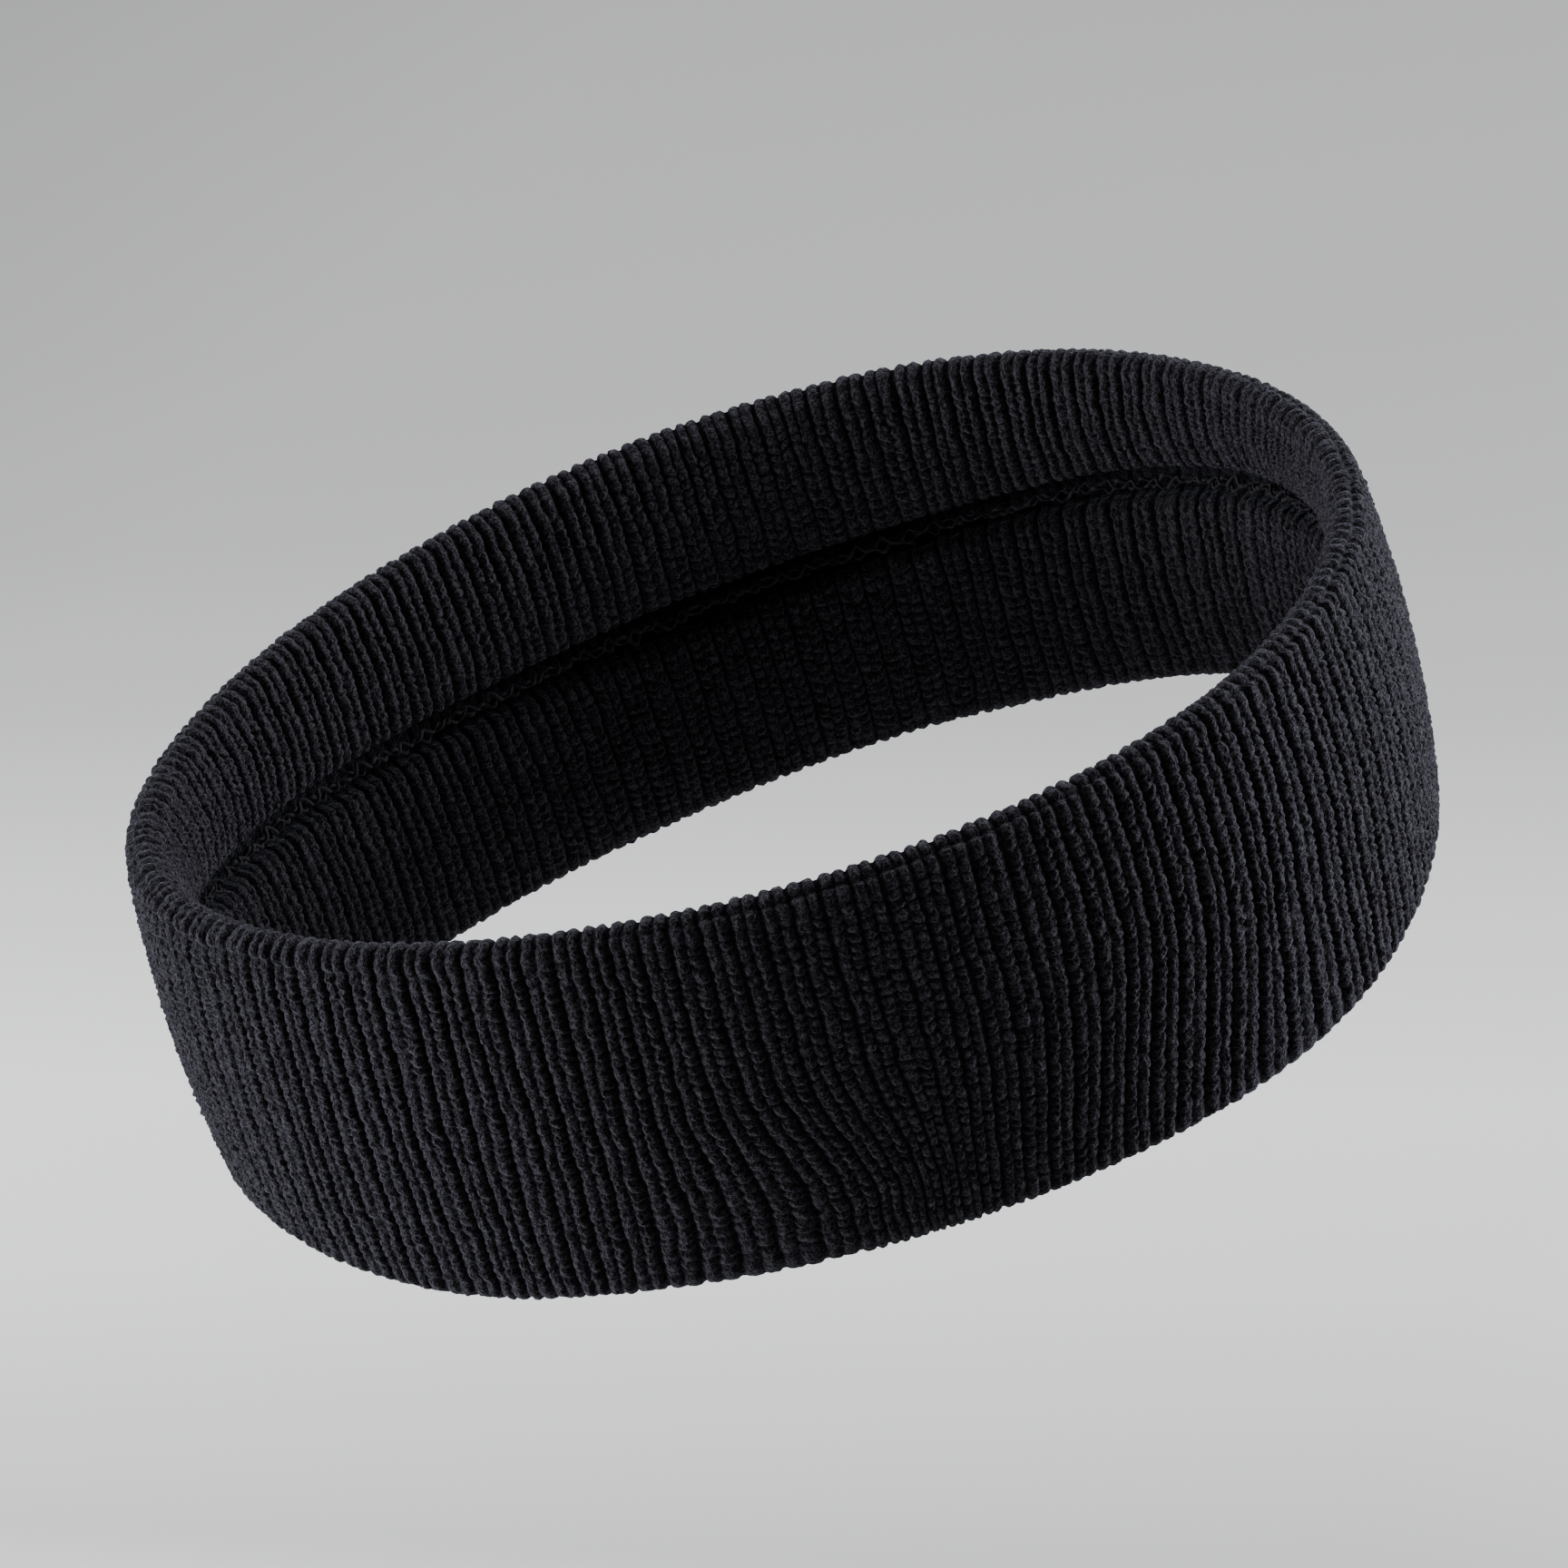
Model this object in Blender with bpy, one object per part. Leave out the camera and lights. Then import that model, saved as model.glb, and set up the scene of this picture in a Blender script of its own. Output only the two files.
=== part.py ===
"""Sports headband: a ribbed knit tube folded double, linked inside, with laid-in elastic.

The headband stands on its lower fold. +Z runs up its width, +X along its longest side,
and the origin is under its centre, on the surface that it stands on. Units are metres.
A turn is an angle round the oval in radians, from +X towards +Y. The section is drawn with a
level lower fold and a level seam. section_place then lifts and leans it to its place at a turn.
"""
import math

import bpy

# Driving dimensions
HALF_LENGTH = 0.0765        # half the mid-wall oval along X
HALF_WIDTH = 0.0604         # half the mid-wall oval along Y
EGG = 0.095                 # how much fuller the +X end is than the -X end
BAND_HEIGHT = 0.050         # from the lower fold to the upper fold
LAYER = 0.0018              # thickness of one layer of knit
WALL = 0.0048               # both layers and the space between them
FOLD_FLAT = 0.0016          # width of the flat that each fold rests on
BELLY = 0.0012              # how far the outer wall swells at mid height
FLAP_SWELL = 0.0010         # how far each inner flap swells between its fold and its lip
LIP_SETBACK = 0.0012        # how far the flaps' lips turn back into the wall at the seam
LIP_SHARPNESS = 8           # power of the lip's curve: the higher, the nearer the seam it starts
SEAM_HEIGHT = 0.0265        # height of the seam between the flaps
SEAM_GAP = 0.0018           # opening between the two lips
SEAM_THREAD = 0.0011        # diameter of the linking chain
ELASTIC_THREAD = 0.0006     # diameter of a covered elastic yarn
CLEARANCE = 0.0004          # gap kept between pieces that touch

# How the soft band departs from a straight oval wall
FOLD_LIFT_FULL = 0.0070     # rise of the lower fold at the +X end
FOLD_LIFT_SLIM = 0.0046     # rise of the lower fold at the -X end
FOLD_REACH_FULL = 1.05      # turns over which those rises die out, to either side
FOLD_REACH_SLIM = 0.85
SEAM_LIFT_FULL = 0.0095     # rise of the seam at the +X end
SEAM_LIFT_SLIM = 0.0065     # rise of the seam at the -X end
SEAM_REACH_FULL = 1.35
SEAM_REACH_SLIM = 1.50
BACK_LEAN = 0.0052          # how far the lower fold stands in at the middle of the +Y side
BACK_REACH = 1.00
KEPT_ZONE = 0.0040          # height next to a fold or the seam that keeps its shape
CENTERING = 0.000677        # shift along Y that centres the leaned band on the origin

# Turns of elastic yarn
OUTER_TURNS = 6             # behind the outer wall
FLAP_TURNS = 3              # behind each inner flap
TURN_MARGIN = 0.0075        # from a fold to its nearest turn
LIP_MARGIN = 0.0080         # from the seam to its nearest turn

# Fineness
PATH_POINTS = 60            # around the band
YARN_POINTS = 40            # around one turn of yarn
WALL_STEPS = 5              # points along the outer wall's height, between its two kept zones
FLAP_STEPS = 4              # points along one inner flap, between its two kept zones
ARC_STEPS = 2               # in a quarter turn of a fold
END_STEPS = 3               # round the end of a lip
YARN_BEVEL = 1              # bevel resolution of a yarn

# Worked out from the sizes above
OUTER_MID = (WALL - LAYER) / 2          # the outer layer's middle, out from mid-wall
FOLD_RADIUS = (WALL - LAYER - FOLD_FLAT) / 2
FOLD_MID = LAYER / 2                    # height of the fold's middle line over its face


def clear_scene():
    for obj in list(bpy.data.objects):
        bpy.data.objects.remove(obj, do_unlink=True)


def new_collection(name):
    collection = bpy.data.collections.new(name)
    bpy.context.scene.collection.children.link(collection)
    return collection


def make_material(name, color, roughness):
    material = bpy.data.materials.new(name)
    material.use_nodes = True
    shader = material.node_tree.nodes["Principled BSDF"]
    shader.inputs["Base Color"].default_value = (*color, 1.0)
    shader.inputs["Roughness"].default_value = roughness
    shader.inputs["Metallic"].default_value = 0.0
    return material


def plan_point(turn):
    """A point of the mid-wall oval, and the way out of the head opening there."""
    fullness = 1 + EGG * math.cos(turn)
    x = HALF_LENGTH * math.cos(turn)
    y = HALF_WIDTH * math.sin(turn) * fullness
    along_x = -HALF_LENGTH * math.sin(turn)
    along_y = HALF_WIDTH * (math.cos(turn) * fullness - EGG * math.sin(turn) ** 2)
    length = math.hypot(along_x, along_y)
    return (x, y), (along_y / length, -along_x / length)


def fade(turn, middle, reach):
    """1 at the middle turn, falling smoothly to nothing at its reach to either side."""
    off = abs(math.remainder(turn - middle, 2 * math.pi))
    return math.cos(math.pi / 2 * min(off / reach, 1)) ** 2


def along_knots(value, before, after):
    """The value carried from one rising list of heights to another, straight between them."""
    for low, high, new_low, new_high in zip(before, before[1:], after, after[1:]):
        if value <= high:
            return new_low + (value - low) * (new_high - new_low) / (high - low)
    return value


def section_place(turn, outward, height):
    """The place at a turn of a point of the section."""
    fold_lift = FOLD_LIFT_FULL * fade(turn, 0, FOLD_REACH_FULL)
    fold_lift += FOLD_LIFT_SLIM * fade(turn, math.pi, FOLD_REACH_SLIM)
    seam_lift = SEAM_LIFT_FULL * fade(turn, 0, SEAM_REACH_FULL)
    seam_lift += SEAM_LIFT_SLIM * fade(turn, math.pi, SEAM_REACH_SLIM)
    before = [0, KEPT_ZONE, BAND_HEIGHT - KEPT_ZONE, BAND_HEIGHT]
    after = [fold_lift, fold_lift + KEPT_ZONE, BAND_HEIGHT - KEPT_ZONE, BAND_HEIGHT]
    if outward < 0:
        seam_zone = [SEAM_HEIGHT - KEPT_ZONE, SEAM_HEIGHT + KEPT_ZONE]
        before[2:2] = seam_zone
        after[2:2] = [seam_zone[0] + seam_lift, seam_zone[1] + seam_lift]
    lean = BACK_LEAN * fade(turn, math.pi / 2, BACK_REACH) * (1 - height / BAND_HEIGHT)
    (x, y), (out_x, out_y) = plan_point(turn)
    outward -= lean
    y += CENTERING
    return (x + outward * out_x, y + outward * out_y, along_knots(height, before, after))


def ring_points(count, outward, height):
    """Points of a ring round the band, given by its place in the section."""
    return [section_place(2 * math.pi * step / count, outward, height) for step in range(count)]


def closed_curve(name, points, collection):
    """A closed curve of straight pieces through the points."""
    data = bpy.data.curves.new(name, "CURVE")
    data.dimensions = "3D"
    data.resolution_u = 1
    spline = data.splines.new("POLY")
    spline.points.add(len(points) - 1)
    for point, place in zip(spline.points, points):
        point.co = (*place, 1.0)
    spline.use_cyclic_u = True
    obj = bpy.data.objects.new(name, data)
    collection.objects.link(obj)
    return obj


def swell(amount, share):
    """A bulge over a stretch, nothing at its two ends and all of it in the middle."""
    return amount * (1 - (2 * share - 1) ** 2)


def outer_wall_out(height):
    """The outer layer's middle, out from mid-wall, at a height."""
    start = FOLD_MID + FOLD_RADIUS
    share = (height - start) / (BAND_HEIGHT - 2 * start)
    return OUTER_MID + swell(BELLY, share)


def flap_out(height):
    """An inner flap's middle, out from mid-wall, at a height. It turns back at its lip."""
    start = FOLD_MID + FOLD_RADIUS
    lip = SEAM_HEIGHT - SEAM_GAP / 2
    if height > SEAM_HEIGHT:
        start = BAND_HEIGHT - start
        lip = SEAM_HEIGHT + SEAM_GAP / 2
    share = (height - start) / (lip - start)
    turned_back = LIP_SETBACK * share ** LIP_SHARPNESS
    return -OUTER_MID - swell(FLAP_SWELL, share) + turned_back


def quarter_arc(center_x, center_z, start_angle):
    """Points of a fold's quarter turn, going clockwise, without its first point."""
    points = []
    for step in range(1, ARC_STEPS + 1):
        angle = start_angle - math.pi / 2 * step / ARC_STEPS
        x = center_x + FOLD_RADIUS * math.cos(angle)
        z = center_z + FOLD_RADIUS * math.sin(angle)
        points.append((x, z))
    return points


def knit_middle_line():
    """The knit's middle line in section: upper lip, upper fold, outer wall, lower fold, lower lip."""
    low = FOLD_MID + FOLD_RADIUS
    high = BAND_HEIGHT - low
    upper_lip = SEAM_HEIGHT + SEAM_GAP / 2 + LAYER / 2
    lower_lip = SEAM_HEIGHT - SEAM_GAP / 2 - LAYER / 2
    line = []
    for height in [upper_lip] + spread(SEAM_HEIGHT + KEPT_ZONE, BAND_HEIGHT - KEPT_ZONE, FLAP_STEPS):
        line.append((flap_out(height), height))
    line.append((flap_out(high), high))
    line += quarter_arc(-FOLD_FLAT / 2, high, math.pi)
    line.append((FOLD_FLAT / 2, high + FOLD_RADIUS))
    line += quarter_arc(FOLD_FLAT / 2, high, math.pi / 2)
    for height in spread(BAND_HEIGHT - KEPT_ZONE, KEPT_ZONE, WALL_STEPS) + [low]:
        line.append((outer_wall_out(height), height))
    line += quarter_arc(FOLD_FLAT / 2, low, 0)
    line.append((-FOLD_FLAT / 2, low - FOLD_RADIUS))
    line += quarter_arc(-FOLD_FLAT / 2, low, -math.pi / 2)
    for height in spread(KEPT_ZONE, SEAM_HEIGHT - KEPT_ZONE, FLAP_STEPS) + [lower_lip]:
        line.append((flap_out(height), height))
    return line


def thicken(line, thickness):
    """The outline of a band of even thickness along an open line, with rounded ends."""
    one_side = []
    other_side = []
    for index, (x, z) in enumerate(line):
        before = line[max(index - 1, 0):index + 1]
        after = line[index:index + 2]
        if index == 0:
            before = after
        if index == len(line) - 1:
            after = before
        angle_in = math.atan2(before[1][1] - before[0][1], before[1][0] - before[0][0])
        angle_out = math.atan2(after[1][1] - after[0][1], after[1][0] - after[0][0])
        half_turn = math.remainder(angle_out - angle_in, 2 * math.pi) / 2
        angle = angle_in + half_turn
        reach = thickness / 2 / math.cos(half_turn)
        side_x = -math.sin(angle) * reach
        side_z = math.cos(angle) * reach
        one_side.append((x + side_x, z + side_z))
        other_side.append((x - side_x, z - side_z))
    last_cap = round_end(line[-1], line[-2], thickness / 2)
    first_cap = round_end(line[0], line[1], thickness / 2)
    return one_side + last_cap + other_side[::-1] + first_cap


def round_end(tip, inner, radius):
    """Points between the two sides of a rounded end, going clockwise."""
    forward = math.atan2(tip[1] - inner[1], tip[0] - inner[0])
    points = []
    for step in range(1, END_STEPS):
        angle = forward + math.pi / 2 - math.pi * step / END_STEPS
        points.append((tip[0] + radius * math.cos(angle), tip[1] + radius * math.sin(angle)))
    return points


def build_knit_shell(parts, material):
    """The knit tube, folded double: its section carried round the oval."""
    outline = thicken(knit_middle_line(), LAYER)
    size = len(outline)
    rings = [ring_points(PATH_POINTS, outward, height) for outward, height in outline]
    points = [ring[step] for step in range(PATH_POINTS) for ring in rings]
    faces = []
    for step in range(PATH_POINTS):
        here = step * size
        ahead = (step + 1) % PATH_POINTS * size
        for index in range(size):
            following = (index + 1) % size
            faces.append((here + index, here + following, ahead + following, ahead + index))
    mesh = bpy.data.meshes.new("knit_shell")
    mesh.from_pydata(points, [], faces)
    mesh.materials.append(material)
    parts.objects.link(bpy.data.objects.new("knit_shell", mesh))


def build_yarn(name, outward, height, diameter, parts, material):
    """One closed turn of round yarn, given by its place in the section."""
    yarn = closed_curve(name, ring_points(YARN_POINTS, outward, height), parts)
    yarn.data.bevel_depth = diameter / 2
    yarn.data.bevel_resolution = YARN_BEVEL
    yarn.data.materials.append(material)


def spread(first, last, count):
    """Evenly spaced values from the first to the last."""
    return [first + (last - first) * step / (count - 1) for step in range(count)]


def build_elastic(parts, material):
    """Turns of elastic, laid on the knit's inner faces, in the space between the layers."""
    off_face = LAYER / 2 + CLEARANCE + ELASTIC_THREAD / 2
    for number, height in enumerate(spread(TURN_MARGIN, BAND_HEIGHT - TURN_MARGIN, OUTER_TURNS), 1):
        outward = outer_wall_out(height) - off_face
        build_yarn(f"outer_elastic_{number}", outward, height, ELASTIC_THREAD, parts, material)
    half_pitch = (BAND_HEIGHT - 2 * TURN_MARGIN) / (OUTER_TURNS - 1) / 2
    lower = spread(TURN_MARGIN + half_pitch, SEAM_HEIGHT - LIP_MARGIN, FLAP_TURNS)
    upper = spread(BAND_HEIGHT - TURN_MARGIN - half_pitch, SEAM_HEIGHT + LIP_MARGIN, FLAP_TURNS)
    for side, heights in (("lower", lower), ("upper", upper)):
        for number, height in enumerate(heights, 1):
            outward = flap_out(height) + off_face
            build_yarn(f"{side}_elastic_{number}", outward, height, ELASTIC_THREAD, parts, material)


def build_seam(parts, material):
    """The linking chain that joins the two lips, sunk between them."""
    build_yarn("linking_seam", -OUTER_MID + LIP_SETBACK / 2, SEAM_HEIGHT, SEAM_THREAD, parts, material)


def main():
    clear_scene()
    parts = new_collection("sports_headband")
    knit = make_material("knit_yarn", (0.012, 0.012, 0.017), 0.95)
    seam = make_material("seam_thread", (0.008, 0.008, 0.010), 0.8)
    elastic = make_material("elastic_yarn", (0.03, 0.03, 0.035), 0.6)
    build_knit_shell(parts, knit)
    build_seam(parts, seam)
    build_elastic(parts, elastic)


main()
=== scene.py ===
"""The looks of the sports headband: a soft, doubled rib knit, modelled stitch by stitch.

A coarse cage of the doubled band is blown up by cloth simulation, and the knit's ribs, stitches
and fuzz are then laid on it as a fine surface. All lengths are in metres.
"""

import math

import bpy
import numpy as np
from mathutils import Matrix, Vector


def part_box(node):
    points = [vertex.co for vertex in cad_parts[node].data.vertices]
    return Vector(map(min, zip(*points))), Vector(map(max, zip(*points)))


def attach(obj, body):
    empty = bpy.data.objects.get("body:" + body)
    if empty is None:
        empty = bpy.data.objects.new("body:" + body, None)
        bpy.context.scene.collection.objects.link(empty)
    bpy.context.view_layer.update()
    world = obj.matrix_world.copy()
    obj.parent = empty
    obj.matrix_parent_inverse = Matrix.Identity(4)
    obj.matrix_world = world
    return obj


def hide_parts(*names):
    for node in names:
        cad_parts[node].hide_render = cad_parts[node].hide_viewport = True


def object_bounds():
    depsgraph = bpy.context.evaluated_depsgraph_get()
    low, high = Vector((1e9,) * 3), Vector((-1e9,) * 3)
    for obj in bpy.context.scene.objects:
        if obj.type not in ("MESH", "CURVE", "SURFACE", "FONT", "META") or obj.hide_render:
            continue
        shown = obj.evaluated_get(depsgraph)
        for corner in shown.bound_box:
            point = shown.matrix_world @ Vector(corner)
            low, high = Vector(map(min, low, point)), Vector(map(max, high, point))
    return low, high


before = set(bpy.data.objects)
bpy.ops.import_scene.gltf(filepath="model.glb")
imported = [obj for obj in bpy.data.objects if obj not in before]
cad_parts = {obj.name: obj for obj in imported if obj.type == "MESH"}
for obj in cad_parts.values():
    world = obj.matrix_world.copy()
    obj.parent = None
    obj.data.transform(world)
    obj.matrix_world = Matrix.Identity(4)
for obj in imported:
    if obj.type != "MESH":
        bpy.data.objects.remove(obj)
CAD_LOW, CAD_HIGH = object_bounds()
SEAM_LOW, SEAM_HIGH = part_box("linking_seam")

# The band's section, as in the solids
WALL = 0.0048               # both layers of knit and the space between them
BELLY = 0.0012              # how far the outer wall swells at mid height
FLAP_SWELL = 0.0010         # how far each inner flap swells between its fold and its lip
SEAM_THREAD = 0.0011        # thickness of the solid's linking chain
SEAM_INSET = 0.00035        # from the mid-wall oval in to the outside of the linking chain
EGG = 0.095                 # how much fuller the +X end is than the -X end
BAND_HEIGHT = CAD_HIGH.z - CAD_LOW.z
SEAM_Z = SEAM_LOW[2] + SEAM_THREAD / 2
HALF_LENGTH = (SEAM_HIGH[0] - SEAM_LOW[0]) / 2 + SEAM_INSET
HALF_WIDTH = 0.0604         # half the oval's width, at mid-wall and before the end is made fuller
CENTERING = 0.000677        # shift along Y of the leaned band

# Points along each piece of the section
LIP_STEPS = 8
FLAP_STEPS = 40
FOLD_STEPS = 16
WALL_STEPS = 60

# How the soft band departs from a straight oval wall, as in the solids; turns are in radians
FOLD_LIFTS = ((0.0, 1.05, 0.0070), (math.pi, 0.85, 0.0046))
SEAM_LIFTS = ((0.0, 1.35, 0.0095), (math.pi, 1.50, 0.0065))
BACK_LEANS = ((math.pi / 2, 1.00, 0.0052),)
FOLD_ZONE = 0.0024          # height next to a fold that keeps its shape
SEAM_ZONE = 0.0030          # height next to the seam that keeps its shape

# The furrow where the flaps meet
LIP_RADIUS = 0.0019         # how each flap rounds over into the furrow
FURROW_HALF = 0.0014        # half the width of the furrow's floor
FURROW_OUT = -0.0006        # the floor of the furrow, out from mid-wall
FURROW_EDGE = LIP_RADIUS / 3    # the furrow is inward of this, out from mid-wall
FURROW_FLATNESS = 0.65      # share of the knit's relief that is lost on the furrow's floor
FURROW_PAINTED_SHADE = 0.22      # painted shade: how much darker the furrow's floor is painted, in shares of the relief

# The knit
WALES = 120                 # ribs round the band, each of two stitch legs
COURSE = 0.00135            # height of one stitch
COLUMNS_PER_WALE = 20
ROWS_PER_COURSE = 6
RELIEF = 0.0011             # from the bottom of a groove to the top of a leg
GROOVE_FLOOR = 0.16         # height of the ground between two ribs, as a share of the relief
PROUD = 0.0003              # how far the legs stand over the solid's face
LEGS = ((0.288, 0.212), (0.730, 0.204))     # middle and half width of each leg in its wale
VALLEY = 0.513              # where the valley between a wale's two legs lies
LEG_LEAN = (0.16, -0.16)    # how far a leg's stitches slant, in courses over half its width
SECTORS = 12                # the band's surface is split in its grooves

# One leg: a row of stitches, each a dome that narrows to a knot where it meets the next
STITCH_SIZES = (0.55, 1.35)     # how much a knot cuts in, from stitch to stitch
KNOT_SHARPNESS = 0.55       # power of the knot's curve: the lower, the shorter the knot
LEG_WIDTH = 1.09            # half width of a stitch at its middle, in the leg's half widths
KNOT_NARROWING = 0.26
KNOT_DROP = 0.56            # share of the height that is lost at a knot
DOME_SQUARENESS = 2.6       # power of the dome's curve across the leg
WANDER = 0.20               # how far the stitches stray along their leg, in courses
WANDER_GRAIN = (12, 7)      # size of that stray, in samples round and across the band
WANDER_SEED = 21
SIDE_WANDER = 0.5           # share of it that also moves a leg sideways
LEG_PHASES = (-0.3, 0.3)    # start of a leg's stitches, in courses
LEG_GIRTHS = (0.92, 1.08)   # width of a leg against its usual width
LEG_SEED = 30
STITCH_SEED = 40

# The rungs of yarn across the valley between a wale's two legs
RUNG_HEIGHT = 0.62
RUNG_GAPS = (0.20, 0.78)    # how deep the gap between two rungs is
RUNG_SHARPNESS = 1.5
VALLEY_WIDTH = 0.070        # in wales
RUNG_SEED = 50

# How the ribs and courses stray: size round and across the band in samples, seed, and distance
RIB_STRAYS = (
    ((110, 130), 11, 0.00030),
    ((16, 44), 12, 0.00013),
    ((7, 7), 13, 0.00004),
)
COURSE_STRAY = ((60, 60), 14, 0.00020)

# The knuckles at the folds. Distances are from the middle of a fold, along the section.
KNUCKLE_REACH = (0.0036, 0.0046)            # stitches run together up to here, whole beyond
FOLD_FILLS = (0.40, 0.60)   # share of a groove that is filled at the upper and the lower fold
FILL_REACH = (0.0014, 0.0052)               # all of that share up to here, none beyond
KNUCKLE_CREASES = (0.0016, 0.0041)          # the inner and the outer crease beside each fold
CREASE_WIDTHS = (0.00042, 0.00048)
CREASE_JITTER = 0.0006      # how far the outer crease strays from rib to rib
INNER_JITTER = 0.40         # how far the inner one does, against that
CREASE_DEPTHS = (0.45, 1.05)                # depth of the outer crease, from rib to rib
CREASE_DROP = 0.70          # share of the height that is lost in a full crease
CREASE_SEED = 51
LONG_KNUCKLES_AT = (0.030, 0.045)           # middle, from the -X end, and spread of the long ones

# Strength of the inner and the outer crease: on the upper outer edge where its knuckles are
# short, on that edge where they are long, and on the other edges
CREASE_STRENGTHS = ((0.85, 0.35, 0.34), (0.30, 1.00, 0.45))

# The fuzz: size in samples, seed, and height as a share of the relief
FUZZ = ((1.2, 15, 0.050), (2.6, 16, 0.060))
FUZZ_CALM = 0.45            # share of the fuzz that is lost on the folds
CALM_REACH = (0.0030, 0.0060)
GROOVE_FUZZ = 0.45          # share of the fuzz that a groove has

# Where the wales are pushed aside on the outer wall's front, as if by a finger. Each has its
# middle along the oval from the -X end, its spread, its push towards +X, and the shares of the
# wall's height between which it comes on, going down.
PUSHES = (
    (0.088, 0.0105, 0.0054, 0.58, 0.14),
    (0.131, 0.0220, -0.0068, 0.66, -0.12),
    (0.069, 0.0090, -0.0024, 0.60, -0.20),
    (0.160, 0.0055, 0.0016, 0.45, 0.05),
)

# The cage for the simulation
CAGE_AROUND = 180
CAGE_ACROSS = 72
HELD_FURROW = 1.2           # the cage is held within this many half widths of the furrow
HELD_FOLD = WALL / 8        # and this close to the top and the bottom
HELD_OUT = -WALL / 3        # but only outward of this
CLOTH_FRAMES = 16
CLOTH_QUALITY = 5
CLOTH_MASS = 0.2
CLOTH_STIFFNESS = {"tension": 8, "compression": 8, "shear": 4, "bending": 0.4}
CLOTH_PRESSURE = 3.0
CLOTH_CAP = 0.0012          # furthest that a point of the cage may move

# The yarn's colour, its painted shade and its grain. Noise sizes are in waves for each metre.
YARN_DARK = (0.0027, 0.0025, 0.0030)
YARN_PALE = (0.0124, 0.0116, 0.0137)
SHADE_HEIGHTS = (-0.20, 0.90)       # painted shade: the heights between which the yarn is painted from dark to pale
DARKEST_SHADE = 0.02        # how dark the painted shade makes the yarn at the lower height, against the upper
FIBRE_NOISE = 2900.0
TUFT_NOISE = 1100.0
FIBRE_SHARE = 0.75          # of the grain; the tufts have the rest
GRAIN_RANGE = (0.45, 0.59)  # the grain's values at which the yarn is dark and pale
GRAIN_DEPTH = 0.0005
SHEEN = 0.035
SHEEN_TINT = (0.80, 0.84, 1.0, 1.0)
THREAD_NOISE = 2600.0
THREAD_GRAIN_DEPTH = 0.0001
THREAD_DARK = (0.001, 0.001, 0.0013)
THREAD_PALE = (0.010, 0.0095, 0.012)
ELASTIC_NOISE = 1800.0
ELASTIC_DARK = (0.004, 0.004, 0.005)
ELASTIC_PALE = (0.016, 0.016, 0.018)

# The linking chain's threads, in metres
CHAIN_SAMPLES = 14          # points for each stitch
CHAIN_SWING = 0.0005        # up and down
CHAIN_STRAY = 0.00030
CHAIN_GRAIN = 9             # size of its unevenness, in points
CHAIN_IN = 0.0008           # its middle, inward of the furrow's floor
CHAIN_DEPTH_SWING = 0.0003
CHAIN_DEPTH_STRAY = 0.00012
CHAIN_RADIUS = 0.00020
CHAIN_RADIUS_STRAY = 0.00006
CHAIN_RADIUS_CAP = 1.5      # furthest unevenness that the radius follows
CHAIN_LAGS = (40, 90)       # points by which depth and radius are uneven behind the height
CHAIN_SEED = 60
CHAIN_SIDES = 6


# Shape helpers

def resample(points, count):
    """A closed outline as evenly spaced points."""
    closed = np.vstack([points, points[:1]])
    steps = np.linalg.norm(np.diff(closed, axis=0), axis=1)
    length = np.concatenate([[0.0], np.cumsum(steps)])
    at = np.arange(count) * length[-1] / count
    spread = [np.interp(at, length, closed[:, axis]) for axis in range(closed.shape[1])]
    return np.stack(spread, axis=1), length[-1]


def even_turns(count):
    """Turns of evenly spaced points round the oval, from +X towards +Y, and its length."""
    turn = np.linspace(0, 2 * np.pi, 4001)
    fullness = 1 + EGG * np.cos(turn)
    outline = np.stack([HALF_LENGTH * np.cos(turn), HALF_WIDTH * np.sin(turn) * fullness], axis=1)
    steps = np.linalg.norm(np.diff(outline, axis=0), axis=1)
    length = np.concatenate([[0.0], np.cumsum(steps)])
    return np.interp(np.arange(count) * length[-1] / count, length, turn), length[-1]


def faded(turn, bumps):
    """The sum at each turn of bumps (middle, reach, amount) that die out smoothly."""
    total = np.zeros_like(turn)
    for middle, reach, amount in bumps:
        off = np.abs(np.mod(turn - middle + np.pi, 2 * np.pi) - np.pi)
        total += amount * np.cos(np.pi / 2 * np.minimum(off / reach, 1)) ** 2
    return total


def ramp_share(value, start, end):
    return np.clip((value - start) / (end - start), 0, 1)


def smooth_step(value, start, end):
    share = ramp_share(value, start, end)
    return share * share * (3 - 2 * share)


def place(turn, outward, height):
    """Points in space, [turn][section point], of points given in the section."""
    turn = turn[:, None]
    up = ramp_share(height, FOLD_ZONE, SEAM_Z - SEAM_ZONE)
    down = ramp_share(height, SEAM_Z + SEAM_ZONE, BAND_HEIGHT - FOLD_ZONE)
    inner = outward < WALL / 8
    fold_share = np.where(inner, 1 - up, 1 - ramp_share(height, FOLD_ZONE, BAND_HEIGHT - FOLD_ZONE))
    seam_share = np.where(inner, up * (1 - down), 0)
    z = height + fold_share * faded(turn, FOLD_LIFTS) + seam_share * faded(turn, SEAM_LIFTS)
    out = outward - faded(turn, BACK_LEANS) * (1 - height / BAND_HEIGHT)
    fullness = 1 + EGG * np.cos(turn)
    along_x = -HALF_LENGTH * np.sin(turn)
    along_y = HALF_WIDTH * (np.cos(turn) * fullness - EGG * np.sin(turn) ** 2)
    speed = np.hypot(along_x, along_y)
    x = HALF_LENGTH * np.cos(turn) + out * along_y / speed
    y = HALF_WIDTH * np.sin(turn) * fullness - out * along_x / speed + CENTERING
    return np.stack([x, y, z], axis=2)


def arc(center, radius, start, end, steps):
    """Points of an arc in the section, angles in degrees."""
    angle = np.radians(np.linspace(start, end, steps))
    across, up = center[0] + radius * np.cos(angle), center[1] + radius * np.sin(angle)
    return np.stack([across, up], axis=1)


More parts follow.
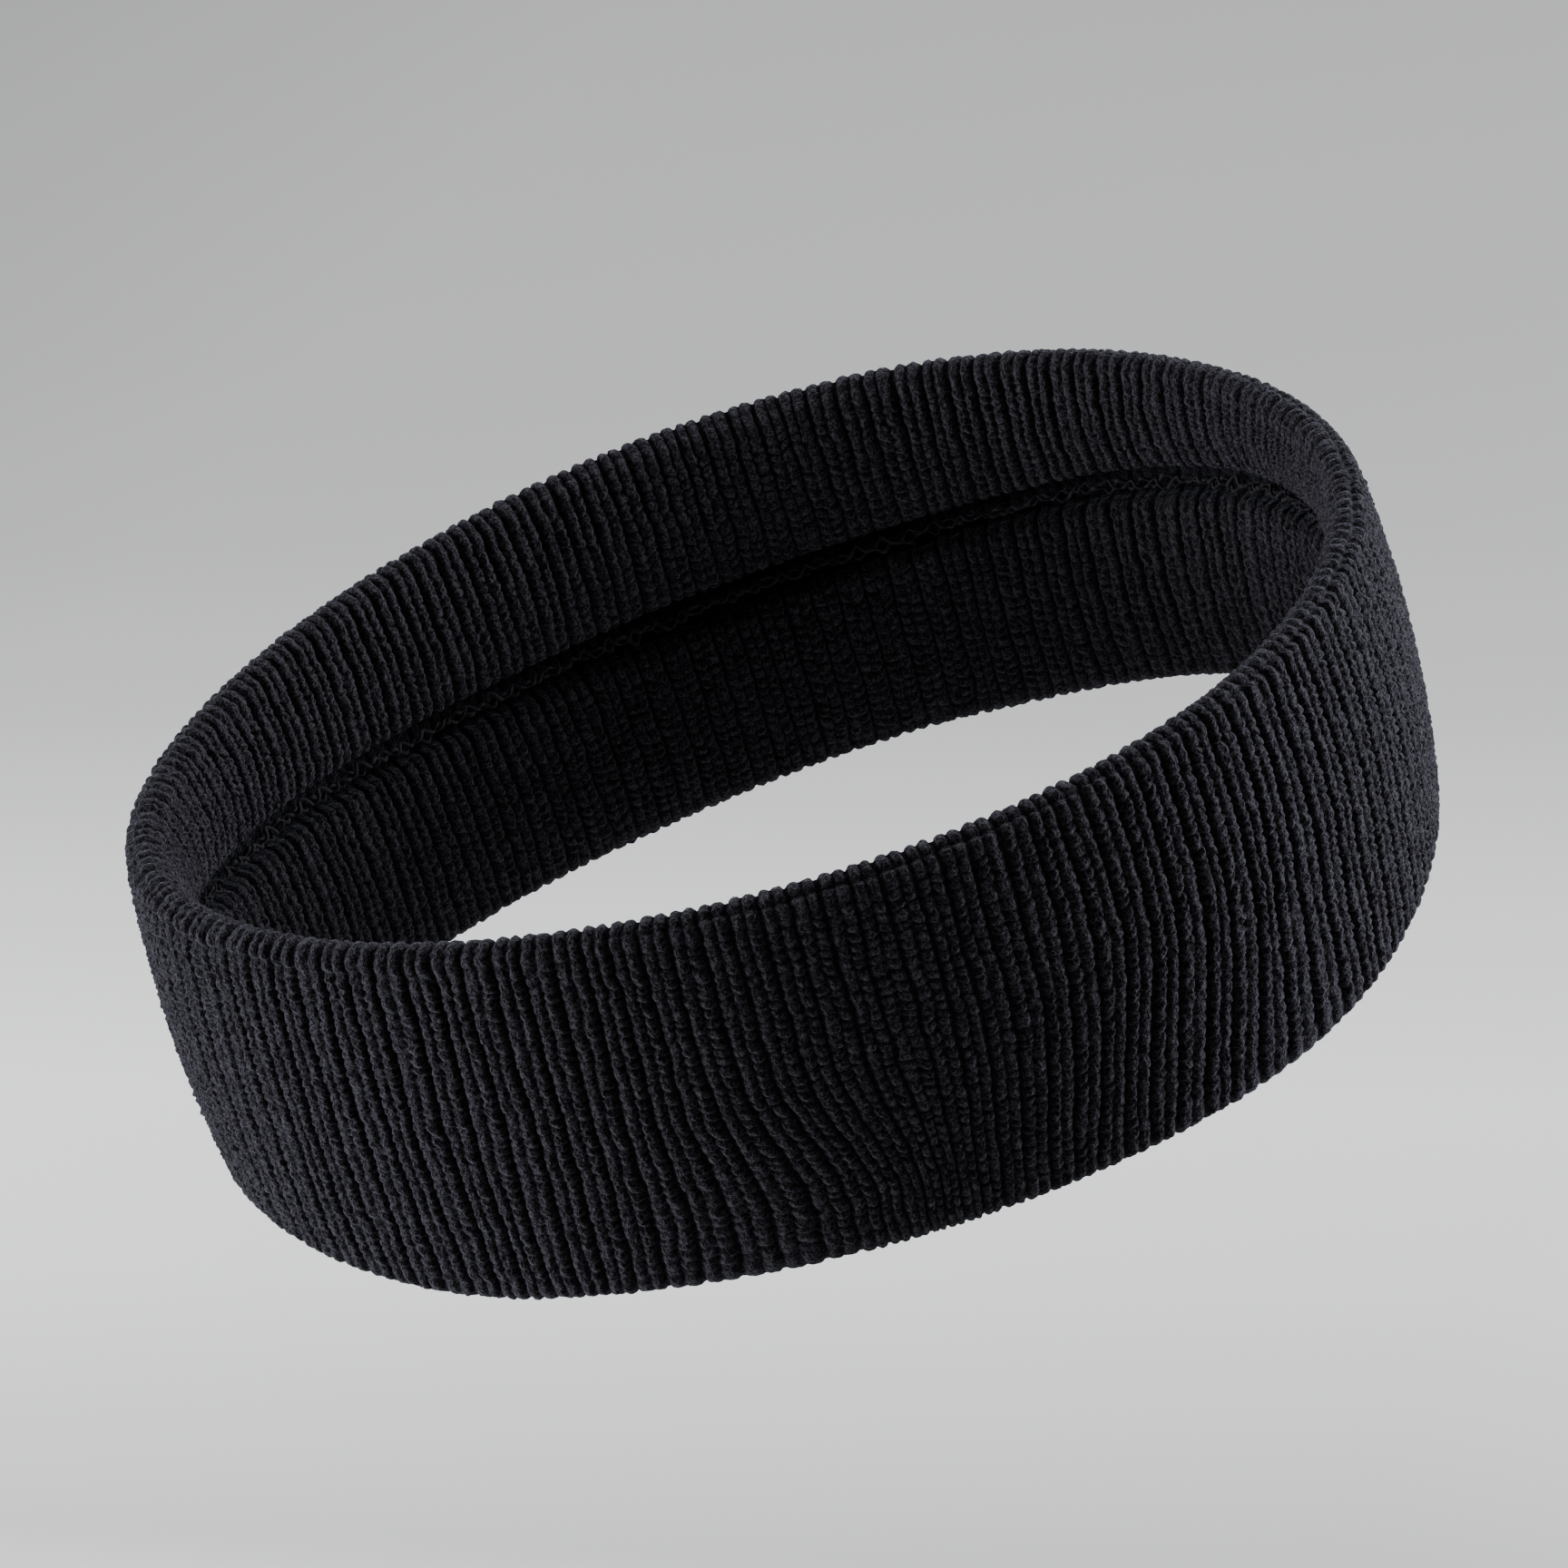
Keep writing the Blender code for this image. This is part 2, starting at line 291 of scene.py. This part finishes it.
def straight(start, end, swell, steps):
    """Points of a wall between two heights at even spacing, swelling outward by swell."""
    share = np.linspace(0, 1, steps)[:, None]
    points = np.array(start) * (1 - share) + np.array(end) * share
    points[:, 0] += swell * (1 - (2 * share[:, 0] - 1) ** 2)
    return points


def section():
    """The band's skin in section: (out from mid-wall, height), from the furrow's floor round."""
    half = WALL / 2
    lip_out = -half + LIP_RADIUS
    upper = SEAM_Z + FURROW_HALF
    lower = SEAM_Z - FURROW_HALF
    top = BAND_HEIGHT - half
    pieces = [
        np.array([[FURROW_OUT, SEAM_Z], [FURROW_OUT, upper]]),
        arc((lip_out, upper + LIP_RADIUS), LIP_RADIUS, 270, 180, LIP_STEPS),
        straight((-half, upper + LIP_RADIUS), (-half, top), -FLAP_SWELL, FLAP_STEPS)[1:],
        arc((0, top), half, 180, 0, FOLD_STEPS)[1:],
        straight((half, top), (half, half), BELLY, WALL_STEPS)[1:],
        arc((0, half), half, 0, -180, FOLD_STEPS)[1:],
        straight((-half, half), (-half, lower - LIP_RADIUS), -FLAP_SWELL, FLAP_STEPS)[1:],
        arc((lip_out, lower - LIP_RADIUS), LIP_RADIUS, 180, 90, LIP_STEPS)[1:],
        np.array([[FURROW_OUT, lower]]),
    ]
    return np.vstack(pieces)


def smooth_noise(shape, grain, seed):
    """Even noise of deviation 1 that wraps round both ways. grain is its size in samples."""
    white = np.random.default_rng(seed).standard_normal(shape)
    across = np.fft.fftfreq(shape[0])[:, None] * grain[0]
    along = np.fft.rfftfreq(shape[1])[None, :] * grain[1]
    blur = np.exp(-2 * (across ** 2 + along ** 2) * np.pi)
    noise = np.fft.irfft2(np.fft.rfft2(white) * blur, shape)
    return noise / noise.std()


# The cage, and its simulation

def cage_points():
    """The coarse skin of the band: points[around][across] in space."""
    outline, length = resample(section(), CAGE_ACROSS)
    turns, _ = even_turns(CAGE_AROUND)
    return place(turns, outline[:, 0], outline[:, 1]), outline, length


def grid_mesh(name, points, wrap_around, wrap_across):
    """A mesh of quads through a grid of points, faces pointing out of the band."""
    rows, columns = points.shape[:2]
    index = np.arange(rows * columns).reshape(rows, columns)
    if wrap_around:
        index = np.vstack([index, index[:1]])
    if wrap_across:
        index = np.hstack([index, index[:, :1]])
    quads = np.stack([index[:-1, :-1], index[:-1, 1:], index[1:, 1:], index[1:, :-1]], axis=-1)
    quads = quads.reshape(-1, 4)
    mesh = bpy.data.meshes.new(name)
    mesh.vertices.add(rows * columns)
    mesh.vertices.foreach_set("co", points.reshape(-1).astype(np.float32))
    mesh.loops.add(quads.size)
    mesh.loops.foreach_set("vertex_index", quads.reshape(-1).astype(np.int32))
    mesh.polygons.add(len(quads))
    mesh.polygons.foreach_set("loop_start", np.arange(0, quads.size, 4, dtype=np.int32))
    mesh.update(calc_edges=True)
    mesh.shade_smooth()
    obj = bpy.data.objects.new(name, mesh)
    bpy.context.scene.collection.objects.link(obj)
    return obj


def read_points(mesh, shape):
    flat = np.empty(len(mesh.vertices) * 3, dtype=np.float32)
    mesh.vertices.foreach_get("co", flat)
    return flat.reshape(shape).astype(float)


def blow_up(cage, outline):
    """The cage after a short cloth simulation with air inside, held at the seam and the folds."""
    obj = grid_mesh("cage", cage, True, True)
    held = np.abs(outline[:, 1] - SEAM_Z) < FURROW_HALF * HELD_FURROW
    held |= outline[:, 1] < CAD_LOW.z + HELD_FOLD
    held |= outline[:, 1] > CAD_HIGH.z - HELD_FOLD
    held = held & (outline[:, 0] > HELD_OUT)
    group = obj.vertex_groups.new(name="held")
    chosen = np.flatnonzero(np.tile(held, CAGE_AROUND))
    group.add(chosen.tolist(), 1.0, "REPLACE")
    cloth = obj.modifiers.new("cloth", "CLOTH")
    settings = cloth.settings
    settings.quality = CLOTH_QUALITY
    settings.mass = CLOTH_MASS
    for kind, stiffness in CLOTH_STIFFNESS.items():
        setattr(settings, f"{kind}_stiffness", stiffness)
    settings.use_pressure = True
    settings.uniform_pressure_force = CLOTH_PRESSURE
    settings.vertex_group_mass = "held"
    settings.effector_weights.gravity = 0
    cloth.collision_settings.use_collision = False
    scene = bpy.context.scene
    for number in range(1, CLOTH_FRAMES + 1):
        scene.frame_set(number)
    depsgraph = bpy.context.evaluated_depsgraph_get()
    evaluated = obj.evaluated_get(depsgraph)
    blown = read_points(evaluated.data, cage.shape)
    scene.frame_set(1)
    bpy.data.objects.remove(obj, do_unlink=True)
    move = blown - cage
    reach = np.linalg.norm(move, axis=2, keepdims=True)
    return cage + move * np.minimum(1, CLOTH_CAP / np.maximum(reach, 1e-9))


def cubic_weights(t):
    """Catmull-Rom weights of the four neighbours."""
    return np.stack([
        ((-t + 2) * t - 1) * t / 2,
        ((3 * t - 5) * t * t + 2) / 2,
        ((-3 * t + 4) * t + 1) * t / 2,
        (t - 1) * t * t / 2,
    ])


def sample_cage(cage, around, across):
    """Smooth points of the cage at fractions of a turn around and across, which wrap."""
    first = np.mod(around, 1) * cage.shape[0]
    second = np.mod(across, 1) * cage.shape[1]
    i = np.floor(first).astype(int)
    j = np.floor(second).astype(int)
    weights_i = cubic_weights(first - i)
    weights_j = cubic_weights(second - j)
    result = np.zeros(around.shape + (3,))
    for a in range(4):
        row = np.zeros_like(result)
        for b in range(4):
            corner = cage[(i + a - 1) % cage.shape[0], (j + b - 1) % cage.shape[1]]
            row += corner * weights_j[b][..., None]
        result += row * weights_i[a][..., None]
    return result


# The knit's surface

def leg_height(x, along, courses, seed):
    """One leg of stitches: x is -1 to 1 across it and along counts its stitches. 1 is its top."""
    own = np.random.default_rng(seed)
    wale = np.arange(len(x)) // COLUMNS_PER_WALE
    stitch = np.floor(along).astype(int) % courses
    size = own.uniform(*STITCH_SIZES, (WALES, courses))[wale[:, None], stitch]
    knot = 1 - np.abs(np.sin(np.pi * along)) ** KNOT_SHARPNESS
    width = LEG_WIDTH - KNOT_NARROWING * knot * size
    dome = np.maximum(0, 1 - np.abs(x / width) ** DOME_SQUARENESS) ** 0.5
    return dome * (1 - KNOT_DROP * knot * size)


def knit_relief(columns, rows, courses, loose):
    """Height of the knit over the bottom of its grooves, from 0 to about 1, at each grid point.

    loose is 0 to 1 for each row: there the stitches round a fold run into one long knuckle.
    """
    x = (np.arange(columns) % COLUMNS_PER_WALE + 0.5) / COLUMNS_PER_WALE
    wale = np.arange(columns) // COLUMNS_PER_WALE
    course = np.arange(rows)[None, :] / ROWS_PER_COURSE
    wander = smooth_noise((columns, rows), WANDER_GRAIN, WANDER_SEED) * WANDER
    height = np.zeros((columns, rows))
    for number, (middle, half) in enumerate(LEGS):
        own = np.random.default_rng(LEG_SEED + number)
        phase = own.uniform(*LEG_PHASES, WALES)[wale]
        girth = own.uniform(*LEG_GIRTHS, WALES)[wale]
        side = (x - middle)[:, None] / half / girth[:, None] + wander * SIDE_WANDER
        along = course + phase[:, None] + LEG_LEAN[number] * side + wander
        leg = leg_height(side, along, courses, STITCH_SEED + number)
        dome = np.sqrt(np.maximum(0, 1 - side ** 2))
        height = np.maximum(height, leg * (1 - loose) + dome * loose)
    own = np.random.default_rng(RUNG_SEED)
    phase = own.uniform(0, 1, WALES)[wale]
    along = course + phase[:, None] + wander
    stitch = np.floor(along).astype(int) % courses
    depth = own.uniform(*RUNG_GAPS, (WALES, courses))[wale[:, None], stitch]
    rung = RUNG_HEIGHT - depth * np.abs(np.sin(np.pi * along)) ** RUNG_SHARPNESS
    valley = np.exp(-((x - VALLEY) / VALLEY_WIDTH) ** 2)[:, None] * rung
    return np.maximum(height, valley)


def wale_shift(arc_at, outline, row_count):
    """How far each wale is pushed along the oval, [column][row], in metres."""
    outward, height = outline[:, 0], outline[:, 1]
    outer = outward > 0
    shift = np.zeros((len(arc_at), row_count))
    for middle, spread, push, start, end in PUSHES:
        near = np.exp(-((arc_at - middle) / spread) ** 2 / 2)
        below = smooth_step(height / BAND_HEIGHT, start, end)
        inside = smooth_step(height / SEAM_Z, 1, 0) * smooth_step(0, start, end)
        shift += near[:, None] * push * np.where(outer, below, inside)[None, :]
    return shift


def knuckle_creases(columns, edge):
    """The inner and the outer crease beside each fold, [column][row], where 1 is a full crease."""
    own = np.random.default_rng(CREASE_SEED)
    wale = np.arange(columns) // COLUMNS_PER_WALE
    jitter = own.uniform(-CREASE_JITTER, CREASE_JITTER, WALES)[wale]
    depth = own.uniform(*CREASE_DEPTHS, WALES)[wale]
    near = (edge[None, :] - KNUCKLE_CREASES[0] - jitter[:, None] * INNER_JITTER) / CREASE_WIDTHS[0]
    far = (edge[None, :] - KNUCKLE_CREASES[1] - jitter[:, None]) / CREASE_WIDTHS[1]
    return np.exp(-near ** 2), np.exp(-far ** 2) * depth[:, None]


def knit_surface(cage, section_length):
    """Points of the whole knit surface, [column][row], and the height of the knit there, lowered on
    the furrow's floor as painted shade.
    """
    courses = round(section_length / COURSE)
    columns = WALES * COLUMNS_PER_WALE
    rows = courses * ROWS_PER_COURSE
    outline, _ = resample(section(), rows)
    _, oval_length = even_turns(4)
    arc_at = np.arange(columns) / columns * oval_length
    shift = wale_shift(arc_at - oval_length / 2, outline, rows)
    for grain, seed, amount in RIB_STRAYS:
        shift += smooth_noise((columns, rows), grain, seed) * amount
    around = np.arange(columns)[:, None] / columns + shift / oval_length
    grain, seed, amount = COURSE_STRAY
    rise = smooth_noise((columns, rows), grain, seed) * amount
    across = np.arange(rows)[None, :] / rows + rise / section_length
    base = sample_cage(cage, around, across)
    along_u = np.roll(base, -1, axis=0) - np.roll(base, 1, axis=0)
    along_v = np.roll(base, -1, axis=1) - np.roll(base, 1, axis=1)
    normal = np.cross(along_v, along_u)
    normal /= np.linalg.norm(normal, axis=2, keepdims=True)
    outward, level = outline[:, 0], outline[:, 1]
    row_step = section_length / rows
    from_top = (np.arange(rows) - np.argmax(level)) * row_step
    from_bottom = (np.arange(rows) - np.argmin(level)) * row_step
    edge = np.minimum(np.abs(from_top), np.abs(from_bottom))
    loose = 1 - ramp_share(edge, *KNUCKLE_REACH)
    height = knit_relief(columns, rows, courses, loose[None, :])
    height = GROOVE_FLOOR + (1 - GROOVE_FLOOR) * height
    fill = np.where(level > SEAM_Z, *FOLD_FILLS) * (1 - ramp_share(edge, *FILL_REACH))
    height = height * (1 - fill[None, :]) + fill[None, :]
    upper_outer = (np.abs(from_top) == edge) & (outward > 0)
    near = np.exp(-((arc_at - oval_length / 2 - LONG_KNUCKLES_AT[0]) / LONG_KNUCKLES_AT[1]) ** 2)
    crease = 0
    for shape, (short, long, usual) in zip(knuckle_creases(columns, edge), CREASE_STRENGTHS):
        strength = short + (long - short) * near[:, None]
        crease = crease + shape * np.where(upper_outer[None, :], strength, usual)
    height = height * (1 - CREASE_DROP * crease)
    calm = 1 - FUZZ_CALM * (1 - ramp_share(edge, *CALM_REACH))
    fuzz = sum(smooth_noise((columns, rows), (size, size), seed) * amount
               for size, seed, amount in FUZZ)
    share = GROOVE_FUZZ + (1 - GROOVE_FUZZ) * np.minimum(height, 1)
    height = height + fuzz * calm[None, :] * share
    sunk = 1 - ramp_share(np.abs(level - SEAM_Z), FURROW_HALF, FURROW_HALF + LIP_RADIUS)
    sunk = np.where(outward < FURROW_EDGE, sunk, 0)[None, :]
    height = height * (1 - FURROW_FLATNESS * sunk)
    lift = PROUD - RELIEF + RELIEF * height
    # the height is given back lowered on the furrow's floor, as painted shade there
    return base + normal * lift[..., None], height - FURROW_PAINTED_SHADE * sunk


# Materials

def set_input(shader, name, value):
    shader.inputs[name].default_value = value


def new_material(name):
    material = bpy.data.materials.new(name)
    material.use_nodes = True
    shader = material.node_tree.nodes["Principled BSDF"]
    return material, shader


def add_node(tree, kind, **values):
    node = tree.nodes.new(kind)
    for key, value in values.items():
        if key in node.inputs:
            node.inputs[key].default_value = value
        else:
            setattr(node, key, value)
    return node


def color_ramp(tree, value, dark, pale):
    """A ramp from dark to pale over a value."""
    ramp = add_node(tree, "ShaderNodeValToRGB")
    ramp.color_ramp.elements[0].color = (*dark, 1)
    ramp.color_ramp.elements[1].color = (*pale, 1)
    tree.links.new(value, ramp.inputs["Fac"])
    return ramp


def knit_material():
    """Matt black yarn with painted shade, darker down in its grooves, with a fine grain and a faint
    sheen.
    """
    material, shader = new_material("knit_yarn")
    tree = material.node_tree
    coords = add_node(tree, "ShaderNodeTexCoord")
    fibres = add_node(tree, "ShaderNodeTexNoise", Scale=FIBRE_NOISE, Detail=1.0, Roughness=0.6)
    tufts = add_node(tree, "ShaderNodeTexNoise", Scale=TUFT_NOISE, Detail=1.0)
    tree.links.new(coords.outputs["Object"], fibres.inputs["Vector"])
    tree.links.new(coords.outputs["Object"], tufts.inputs["Vector"])
    grain = add_node(tree, "ShaderNodeMath", operation="MULTIPLY_ADD")
    grain.inputs[1].default_value = FIBRE_SHARE
    share = add_node(tree, "ShaderNodeMath", operation="MULTIPLY")
    share.inputs[1].default_value = 1 - FIBRE_SHARE
    tree.links.new(fibres.outputs["Fac"], grain.inputs[0])
    tree.links.new(tufts.outputs["Fac"], share.inputs[0])
    tree.links.new(share.outputs[0], grain.inputs[2])
    ramp = color_ramp(tree, grain.outputs[0], YARN_DARK, YARN_PALE)
    for stop, position in zip(ramp.color_ramp.elements, GRAIN_RANGE):
        stop.position = position
    # painted shade: the lower the knit lies, the darker its yarn is painted
    height = add_node(tree, "ShaderNodeAttribute", attribute_name="painted_shade_height")
    shade = add_node(tree, "ShaderNodeMapRange")
    shade.inputs["From Min"].default_value = SHADE_HEIGHTS[0]
    shade.inputs["From Max"].default_value = SHADE_HEIGHTS[1]
    shade.inputs["To Min"].default_value = DARKEST_SHADE
    shade.inputs["To Max"].default_value = 1.0
    tree.links.new(height.outputs["Fac"], shade.inputs["Value"])
    darker = add_node(tree, "ShaderNodeVectorMath", operation="SCALE")
    tree.links.new(ramp.outputs["Color"], darker.inputs[0])
    tree.links.new(shade.outputs[0], darker.inputs["Scale"])
    tree.links.new(darker.outputs[0], shader.inputs["Base Color"])
    bump = add_node(tree, "ShaderNodeBump", Strength=1.0, Distance=GRAIN_DEPTH)
    tree.links.new(grain.outputs[0], bump.inputs["Height"])
    tree.links.new(bump.outputs["Normal"], shader.inputs["Normal"])
    set_input(shader, "Roughness", 0.95)
    set_input(shader, "Specular IOR Level", 0.0)
    set_input(shader, "Sheen Weight", SHEEN)
    set_input(shader, "Sheen Roughness", 0.5)
    set_input(shader, "Sheen Tint", SHEEN_TINT)
    return material


def thread_material():
    """Matt black seam thread with a fine twist."""
    material, shader = new_material("seam_thread")
    tree = material.node_tree
    coords = add_node(tree, "ShaderNodeTexCoord")
    fibres = add_node(tree, "ShaderNodeTexNoise", Scale=THREAD_NOISE, Detail=2.0)
    tree.links.new(coords.outputs["Object"], fibres.inputs["Vector"])
    ramp = color_ramp(tree, fibres.outputs["Fac"], THREAD_DARK, THREAD_PALE)
    tree.links.new(ramp.outputs["Color"], shader.inputs["Base Color"])
    bump = add_node(tree, "ShaderNodeBump", Strength=0.5, Distance=THREAD_GRAIN_DEPTH)
    tree.links.new(fibres.outputs["Fac"], bump.inputs["Height"])
    tree.links.new(bump.outputs["Normal"], shader.inputs["Normal"])
    set_input(shader, "Roughness", 0.9)
    set_input(shader, "Specular IOR Level", 0.05)
    return material


def elastic_material():
    """Covered elastic: dark rubber seen through a fine wrapping of yarn."""
    material, shader = new_material("elastic_yarn")
    tree = material.node_tree
    coords = add_node(tree, "ShaderNodeTexCoord")
    wrap = add_node(tree, "ShaderNodeTexNoise", Scale=ELASTIC_NOISE, Detail=2.0)
    tree.links.new(coords.outputs["Object"], wrap.inputs["Vector"])
    ramp = color_ramp(tree, wrap.outputs["Fac"], ELASTIC_DARK, ELASTIC_PALE)
    tree.links.new(ramp.outputs["Color"], shader.inputs["Base Color"])
    set_input(shader, "Roughness", 0.6)
    return material


# Pieces

def build_knit(material):
    cage, outline, length = cage_points()
    cage = blow_up(cage, outline)
    points, height = knit_surface(cage, length)
    step = len(points) // SECTORS
    for number in range(SECTORS):
        chosen = np.arange(number * step, (number + 1) * step + 1) % len(points)
        piece = grid_mesh(f"knit_wall_{number + 1}", points[chosen], False, True)
        # the knit's height, kept for the painted shade that darkens the yarn down in its grooves
        depth = piece.data.attributes.new("painted_shade_height", "FLOAT", "POINT")
        depth.data.foreach_set("value", height[chosen].reshape(-1).astype(np.float32))
        piece.data.materials.append(material)
        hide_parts("knit_shell")
        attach(piece, "root")


def tube_mesh(name, path, radius, sides):
    """A closed tube along a closed path, of its own radius at each point."""
    ahead = np.roll(path, -1, axis=0) - np.roll(path, 1, axis=0)
    ahead /= np.linalg.norm(ahead, axis=1, keepdims=True)
    side = np.cross(ahead, np.array([0.0, 0.0, 1.0]))
    side /= np.linalg.norm(side, axis=1, keepdims=True)
    up = np.cross(side, ahead)
    angle = np.arange(sides) * 2 * np.pi / sides
    ring = side[:, None] * np.cos(angle)[None, :, None] + up[:, None] * np.sin(angle)[None, :, None]
    return grid_mesh(name, path[:, None] + ring * radius[:, None, None], True, True)


def build_seam(material):
    """The linking chain: two threads that loop over each other along the furrow."""
    count = WALES * 2 * CHAIN_SAMPLES
    turns, _ = even_turns(count)
    beat = np.arange(count) / CHAIN_SAMPLES * 2 * np.pi
    for number, phase in enumerate((0.0, np.pi), 1):
        uneven = smooth_noise((count, 1), (CHAIN_GRAIN, 1), CHAIN_SEED + number)[:, 0]
        height = CHAIN_SWING * np.sin(beat / 2 + phase) + CHAIN_STRAY * uneven
        depth = FURROW_OUT - CHAIN_IN + CHAIN_DEPTH_SWING * np.cos(beat + phase)
        depth = depth + CHAIN_DEPTH_STRAY * np.roll(uneven, CHAIN_LAGS[0])
        path = place(turns, np.zeros(1), np.full(1, SEAM_Z))[:, 0]
        inward = place(turns, np.full(1, -WALL / 2), np.full(1, SEAM_Z))[:, 0] - path
        path = path - inward * (depth / (WALL / 2))[:, None]
        path[:, 2] += height
        swell = np.roll(uneven, CHAIN_LAGS[1]).clip(-CHAIN_RADIUS_CAP, CHAIN_RADIUS_CAP)
        radius = CHAIN_RADIUS + CHAIN_RADIUS_STRAY * swell
        piece = tube_mesh(f"seam_thread_{number}", path, radius, CHAIN_SIDES)
        piece.data.materials.append(material)
        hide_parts("linking_seam")
        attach(piece, "root")


def dress_elastic(material):
    """The elastic turns are shown as the solids themselves, in their own material."""
    for name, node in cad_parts.items():
        if "elastic" in name:
            for slot in node.material_slots:
                slot.material = material


# Stage

CAMERA_DISTANCE = 1.074
CAMERA_ELEVATION = 0.5086
CAMERA_AZIMUTH = -0.157
CAMERA_ROLL = 0.287
CAMERA_LENS = 200.6         # millimetres, as the sensor's width is
CAMERA_SENSOR = 36.0
AIM_LEFT = 0.00085          # the band's centre is off the picture's centre by these
AIM_UP = 0.0046
SIDE_COLOR = (0.95, 0.96, 1.0)
FLOOR_DROP = 0.30
FLOOR_AWAY = (0.6457, 0.7636, 0.0)      # the floor's painted light and shade change this way, up the picture
FLOOR_ACROSS = (0.7636, -0.6457, 0.0)   # sideways on the floor, as the camera sees it
FLOOR_MIDDLE = -0.30                    # middle of the floor that is seen, sideways
FLOOR_SPAN = 0.20                       # half the width of floor that is seen
FLOOR_PAINTED_TONES = (                         # metres that way, and the floor's paleness there, as painted light and shade
    (0.00, 0.600),
    (0.18, 0.420),
    (0.26, 0.225),
    (0.34, 0.317),
    (0.40, 0.345),
    (0.46, 0.298),
    (0.53, 0.228),
    (0.60, 0.206),
    (0.68, 0.209),
    (0.90, 0.246),
    (1.00, 0.550),
)
FLOOR_TINT = (1.0, 1.0, 0.985)
FLOOR_PAINTED_EVENING = (1.03, 0.69)            # painted light and shade: the floor's paleness from left to right, to even out the lamps' light
WORLD_COLOR = (0.86, 0.87, 0.88, 1)
WORLD_STRENGTH = 0.44
LIGHTS = (                              # name, place, target, size, watts, colour
    ("overhead", (0.0, 0.50, 1.2), (0, 0.2, 0), (1.6, 1.2), 9, (1, 1, 1)),
    ("side_left", (-0.9, 0.15, 0.18), (0, 0, 0.02), (0.60, 0.50), 66, SIDE_COLOR),
    ("side_right", (0.9, 0.00, 0.17), (0, 0, 0.02), (0.60, 0.50), 82, SIDE_COLOR),
    ("front_fill", (-0.1, -1.1, 0.55), (0, 0, 0.02), (1.4, 0.8), 2, SIDE_COLOR),
)


def build_camera():
    data = bpy.data.cameras.new("camera")
    data.lens = CAMERA_LENS
    data.sensor_width = CAMERA_SENSOR
    camera = bpy.data.objects.new("camera", data)
    bpy.context.scene.collection.objects.link(camera)
    swing = Matrix.Rotation(CAMERA_AZIMUTH, 3, "Z")
    back = swing @ Vector((0, -math.cos(CAMERA_ELEVATION), math.sin(CAMERA_ELEVATION)))
    right = swing @ Vector((1, 0, 0))
    up = back.cross(right)
    rolled_right = right * math.cos(CAMERA_ROLL) - up * math.sin(CAMERA_ROLL)
    rolled_up = right * math.sin(CAMERA_ROLL) + up * math.cos(CAMERA_ROLL)
    center = Vector((0, 0, BAND_HEIGHT / 2))
    target = center - rolled_right * AIM_LEFT + rolled_up * AIM_UP
    axes = Matrix((rolled_right, rolled_up, back)).transposed().to_4x4()
    camera.matrix_world = Matrix.Translation(target + back * CAMERA_DISTANCE) @ axes
    bpy.context.scene.camera = camera


def area_light(name, spot, target, size, power, color):
    data = bpy.data.lights.new(name, "AREA")
    data.shape = "RECTANGLE"
    data.size, data.size_y = size
    data.energy = power
    data.color = color
    light = bpy.data.objects.new(name, data)
    bpy.context.scene.collection.objects.link(light)
    light.location = spot
    direction = Vector(target) - Vector(spot)
    light.rotation_euler = direction.to_track_quat("-Z", "Y").to_euler()


def floor_material():
    """A pale floor with painted light and shade: its tone changes smoothly away from the camera and
    from side to side.
    """
    material, shader = new_material("floor_painted_light")
    tree = material.node_tree
    coords = add_node(tree, "ShaderNodeTexCoord")
    away = add_node(tree, "ShaderNodeVectorMath", operation="DOT_PRODUCT")
    away.inputs[1].default_value = FLOOR_AWAY
    tree.links.new(coords.outputs["Object"], away.inputs[0])
    # painted light and shade, changing away from the camera
    ramp = add_node(tree, "ShaderNodeValToRGB")
    stops = ramp.color_ramp.elements
    while len(stops) < len(FLOOR_PAINTED_TONES):
        stops.new(0.5)
    for stop, (position, tone) in zip(stops, FLOOR_PAINTED_TONES):
        stop.position = position
        stop.color = (*(tone * tint for tint in FLOOR_TINT), 1)
    tree.links.new(away.outputs["Value"], ramp.inputs["Fac"])
    across = add_node(tree, "ShaderNodeVectorMath", operation="DOT_PRODUCT")
    across.inputs[1].default_value = FLOOR_ACROSS
    tree.links.new(coords.outputs["Object"], across.inputs[0])
    # painted light and shade from side to side, evening out the lamps' light
    evened = add_node(tree, "ShaderNodeMapRange")
    evened.inputs["From Min"].default_value = FLOOR_MIDDLE - FLOOR_SPAN
    evened.inputs["From Max"].default_value = FLOOR_MIDDLE + FLOOR_SPAN
    evened.inputs["To Min"].default_value = FLOOR_PAINTED_EVENING[0]
    evened.inputs["To Max"].default_value = FLOOR_PAINTED_EVENING[1]
    tree.links.new(across.outputs["Value"], evened.inputs["Value"])
    toned = add_node(tree, "ShaderNodeVectorMath", operation="SCALE")
    tree.links.new(ramp.outputs["Color"], toned.inputs[0])
    tree.links.new(evened.outputs[0], toned.inputs["Scale"])
    tree.links.new(toned.outputs[0], shader.inputs["Base Color"])
    set_input(shader, "Roughness", 0.9)
    set_input(shader, "Specular IOR Level", 0.0)
    return material


def build_stage():
    bpy.ops.mesh.primitive_plane_add(size=8, location=(0, 0, CAD_LOW.z - FLOOR_DROP))
    floor = bpy.context.object
    floor.name = "floor"
    floor.data.materials.append(floor_material())
    world = bpy.data.worlds.new("studio")
    bpy.context.scene.world = world
    world.use_nodes = True
    background = world.node_tree.nodes["Background"]
    background.inputs["Color"].default_value = WORLD_COLOR
    background.inputs["Strength"].default_value = WORLD_STRENGTH
    for light in LIGHTS:
        area_light(*light)


build_camera()
build_stage()
build_knit(knit_material())
build_seam(thread_material())
dress_elastic(elastic_material())
